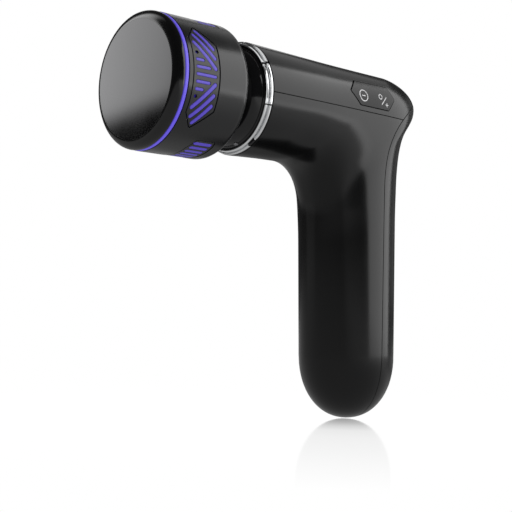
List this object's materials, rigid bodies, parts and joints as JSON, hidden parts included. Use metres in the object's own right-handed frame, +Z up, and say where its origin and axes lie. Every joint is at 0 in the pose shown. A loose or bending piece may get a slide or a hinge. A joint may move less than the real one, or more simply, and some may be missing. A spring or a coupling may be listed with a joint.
{
  "type": "massage gun",
  "caption": "L-shaped hand-held percussion massager: round barrel with a vented, lit, pull-off massage head on a crank-driven plunger, rounded grip, rocking button pad on the side.",
  "frame": {"origin": "under the centre of the bounding box, at the level of the lowest point of the handle", "axes": "-X along the barrel towards the massage head, +Z up out of the handle, Y across; the button pad is on the -Y side"},
  "size_m": [0.1662, 0.06, 0.1763],
  "materials": {
    "shell_black": "satin moulded",
    "gloss_black": "gloss moulded",
    "chrome": "polished",
    "plate_metal": "polished dark anodised",
    "light_purple": "translucent, lit from behind",
    "vent_black": "satin moulded",
    "pad_black": "satin, printed marks",
    "rubber_black": "matte",
    "alloy": "machined",
    "steel": "ground",
    "bronze": "sintered",
    "nylon": "moulded",
    "magnet": "plated",
    "copper": "wound and varnished",
    "board_green": "solder mask",
    "cell_wrap": "shrink wrap",
    "ceramic": "sintered"
  },
  "bodies": {
    "handle_body": {"grip_shell": "shell_black", "top_cover": "shell_black", "rear_cover": "shell_black", "collar_ring": "chrome", "nose_bezel": "gloss_black", "shaft_seal": "rubber_black", "guide_housing": "alloy", "guide_bushing": "bronze", "guide_screw_1": "steel", "guide_screw_2": "steel", "guide_screw_3": "steel", "chassis_plate": "alloy", "main_bearing": "steel", "isolator_left": "rubber_black", "isolator_right": "rubber_black", "motor_base": "alloy", "motor_stator": "copper", "battery_cell_front": "cell_wrap", "battery_cell_rear": "cell_wrap", "battery_holder_top": "nylon", "battery_holder_bottom": "nylon", "control_board": "board_green", "button_board": "board_green", "switch_power": "steel", "switch_mode": "steel", "charge_port": "alloy"},
    "button": {"button_pad": "pad_black"},
    "rotor": {"rotor_bell": "steel", "rotor_magnets": "magnet", "motor_shaft": "steel", "crank_disc": "steel"},
    "plunger": {"plunger_shaft": "steel", "wrist_pin": "steel"},
    "conrod": {"connecting_rod": "alloy", "small_end_bush": "bronze", "big_end_bearing": "steel", "crank_pin": "steel"},
    "head": {"contact_plate": "plate_metal", "light_ring": "light_purple", "head_housing": "gloss_black", "vent_grille_side_near": "vent_black", "vent_grille_side_far": "vent_black", "vent_grille_top": "vent_black", "vent_grille_bottom": "vent_black", "vent_lens_side_near": "light_purple", "vent_lens_side_far": "light_purple", "vent_lens_top": "light_purple", "vent_lens_bottom": "light_purple", "cooling_plate": "ceramic", "heat_sink": "alloy", "fan_frame": "vent_black", "head_board": "board_green", "head_stem": "gloss_black", "stem_o_ring_1": "rubber_black", "stem_o_ring_2": "rubber_black"},
    "fan": {"fan_impeller": "vent_black"}
  },
  "joints": [
    {"name": "button_rock", "type": "hinge", "parent": "handle_body", "child": "button", "pos_m": [0.0395, -0.0223, 0.15495], "axis": [0, 0, 1], "range_deg": [-1.6, 1.6], "stiffness_Nm_per_rad": 0.4},
    {"name": "motor_spin", "type": "hinge", "parent": "handle_body", "child": "rotor", "pos_m": [0.048, 0, 0.14635], "axis": [0, 0, 1], "continuous": true},
    {"name": "plunger_stroke", "type": "slide", "parent": "handle_body", "child": "plunger", "axis": [-1, 0, 0], "range_m": [0, 0.01]},
    {"name": "conrod_swing", "type": "hinge", "parent": "plunger", "child": "conrod", "pos_m": [0.011, 0, 0.14635], "axis": [0, 0, 1], "range_deg": [-7, 7]},
    {"name": "head_pull_off", "type": "slide", "parent": "plunger", "child": "head", "axis": [-1, 0, 0], "range_m": [0, 0.024]},
    {"name": "fan_spin", "type": "hinge", "parent": "head", "child": "fan", "pos_m": [-0.0563, 0, 0.14635], "axis": [1, 0, 0], "continuous": true}
  ]
}
